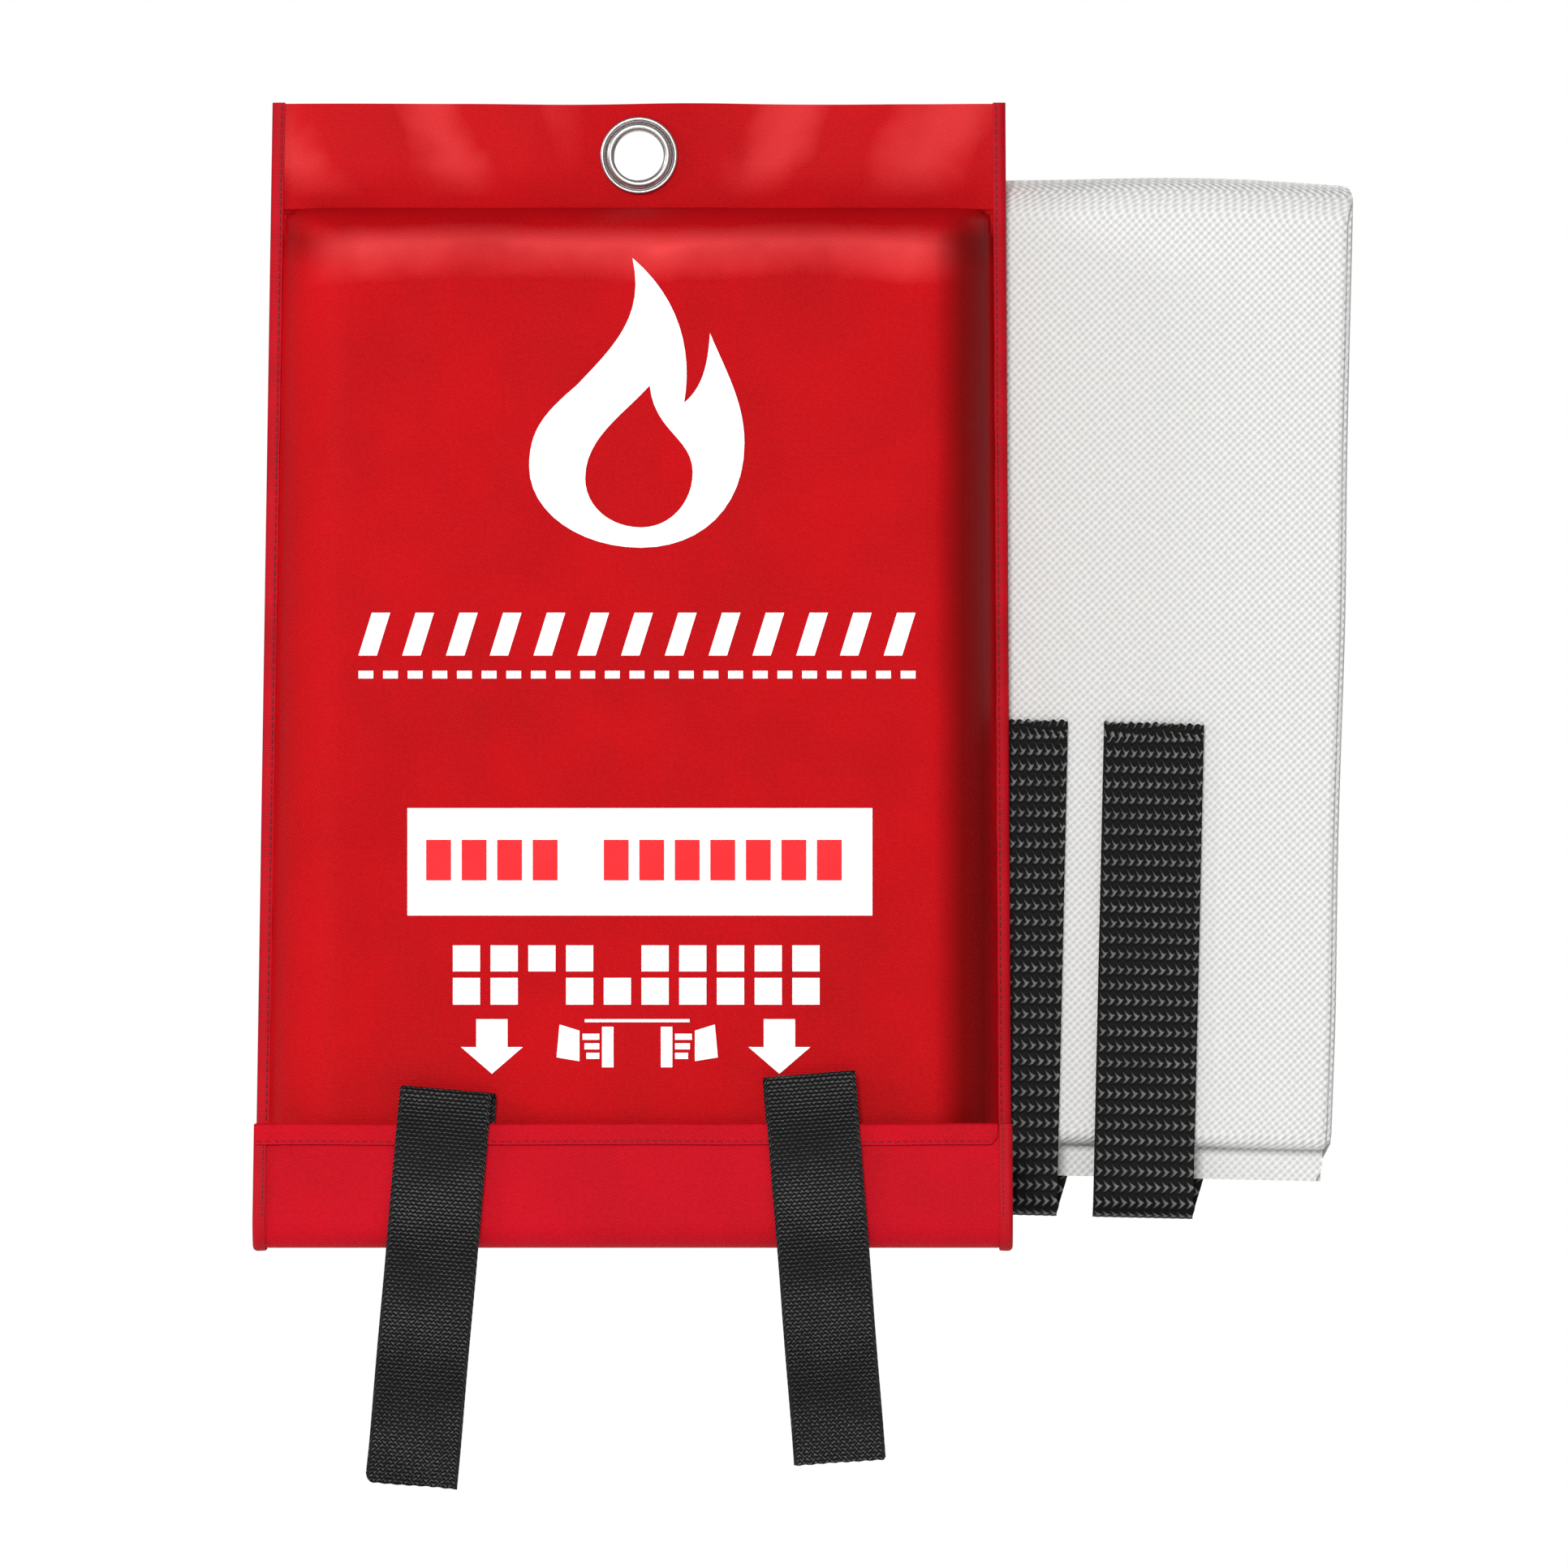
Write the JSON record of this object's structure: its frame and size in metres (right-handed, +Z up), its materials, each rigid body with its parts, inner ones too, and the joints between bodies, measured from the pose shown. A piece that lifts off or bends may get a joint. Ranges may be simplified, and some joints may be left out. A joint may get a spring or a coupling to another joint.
{
  "type": "fire blanket",
  "caption": "Folded glass-fibre fire blanket in a soft hanging pouch with a bottom flap and webbing pull tapes, and a second folded blanket behind it.",
  "frame": {"origin": "centre of the hanging eyelet, in the plane where the pouch's back panel meets its front panel", "axes": "+Z up, -Y towards the pouch's front, +X to the right seen from the front"},
  "size_m": [0.2889, 0.0532, 0.3628],
  "materials": {
    "coated_fabric": "red coated woven fabric, soft sheen",
    "binding_tape": "red woven binding, matt",
    "closure_tape": "black hook-and-loop tape",
    "eyelet_metal": "satin nickel-plated metal",
    "glass_fabric": "white twill glass-fibre cloth",
    "webbing": "black woven webbing"
  },
  "bodies": {
    "pouch": {"back_panel": "coated_fabric", "front_panel": "coated_fabric", "left_binding": "binding_tape", "right_binding": "binding_tape", "front_hem": "binding_tape", "loop_strip": "closure_tape", "eyelet": "eyelet_metal", "eyelet_washer": "eyelet_metal"},
    "flap_base": {"flap_base_panel": "coated_fabric", "flap_base_left_binding": "binding_tape", "flap_base_right_binding": "binding_tape"},
    "flap_front": {"flap_front_panel": "coated_fabric", "flap_hem": "binding_tape", "flap_left_binding": "binding_tape", "flap_right_binding": "binding_tape", "hook_strip": "closure_tape"},
    "packed_blanket": {"packed_blanket": "glass_fabric", "packed_blanket_hem": "glass_fabric", "left_tape_root": "webbing", "right_tape_root": "webbing"},
    "left_tape": {"left_tape": "webbing"},
    "right_tape": {"right_tape": "webbing"},
    "loose_blanket": {"loose_blanket": "glass_fabric", "loose_blanket_hem": "glass_fabric", "loose_left_tape_root": "webbing", "loose_right_tape_root": "webbing"},
    "loose_left_tape": {"loose_left_tape": "webbing"},
    "loose_right_tape": {"loose_right_tape": "webbing"}
  },
  "joints": [
    {"name": "blanket_release", "type": "slide", "parent": "pouch", "child": "packed_blanket", "axis": [0, 0, -1], "range_m": [0, 0.27], "deforming": ["flap_base_panel", "flap_base_left_binding", "flap_base_right_binding", "flap_front_panel", "flap_hem", "flap_left_binding", "flap_right_binding", "hook_strip"]},
    {"name": "flap_fold", "type": "hinge", "parent": "pouch", "child": "flap_base", "pos_m": [0, 0.0004, -0.279], "axis": [1, 0, 0], "range_deg": [0, 90]},
    {"name": "flap_lap_fold", "type": "hinge", "parent": "flap_base", "child": "flap_front", "pos_m": [0, -0.0258, -0.279], "axis": [1, 0, 0], "range_deg": [0, 90]},
    {"name": "left_tape_swing", "type": "hinge", "parent": "packed_blanket", "child": "left_tape", "pos_m": [-0.0504, -0.02625, -0.24705], "axis": [-0.9962, 0, 0.0872], "range_deg": [0, 110], "deforming": ["left_tape"]},
    {"name": "right_tape_swing", "type": "hinge", "parent": "packed_blanket", "child": "right_tape", "pos_m": [0.0449, -0.02625, -0.24305], "axis": [-0.9969, 0, -0.0785], "range_deg": [0, 110], "deforming": ["right_tape"]},
    {"name": "loose_blanket_slide", "type": "slide", "parent": "pouch", "child": "loose_blanket", "axis": [1, 0, 0], "range_m": [0, 0.2]},
    {"name": "loose_left_tape_swing", "type": "hinge", "parent": "loose_blanket", "child": "loose_left_tape", "pos_m": [0.09676, 0.0081, -0.27269], "axis": [0.9997, 0, -0.0227], "range_deg": [0, 180], "deforming": ["loose_left_tape"]},
    {"name": "loose_right_tape_swing", "type": "hinge", "parent": "loose_blanket", "child": "loose_right_tape", "pos_m": [0.13255, 0.0081, -0.27351], "axis": [0.9997, 0, -0.0227], "range_deg": [0, 180], "deforming": ["loose_right_tape"]}
  ],
  "couplings": [
    {"joint": "flap_fold", "follows": "blanket_release", "rad_per_m": 5.81},
    {"joint": "flap_lap_fold", "follows": "blanket_release", "rad_per_m": 5.81}
  ]
}
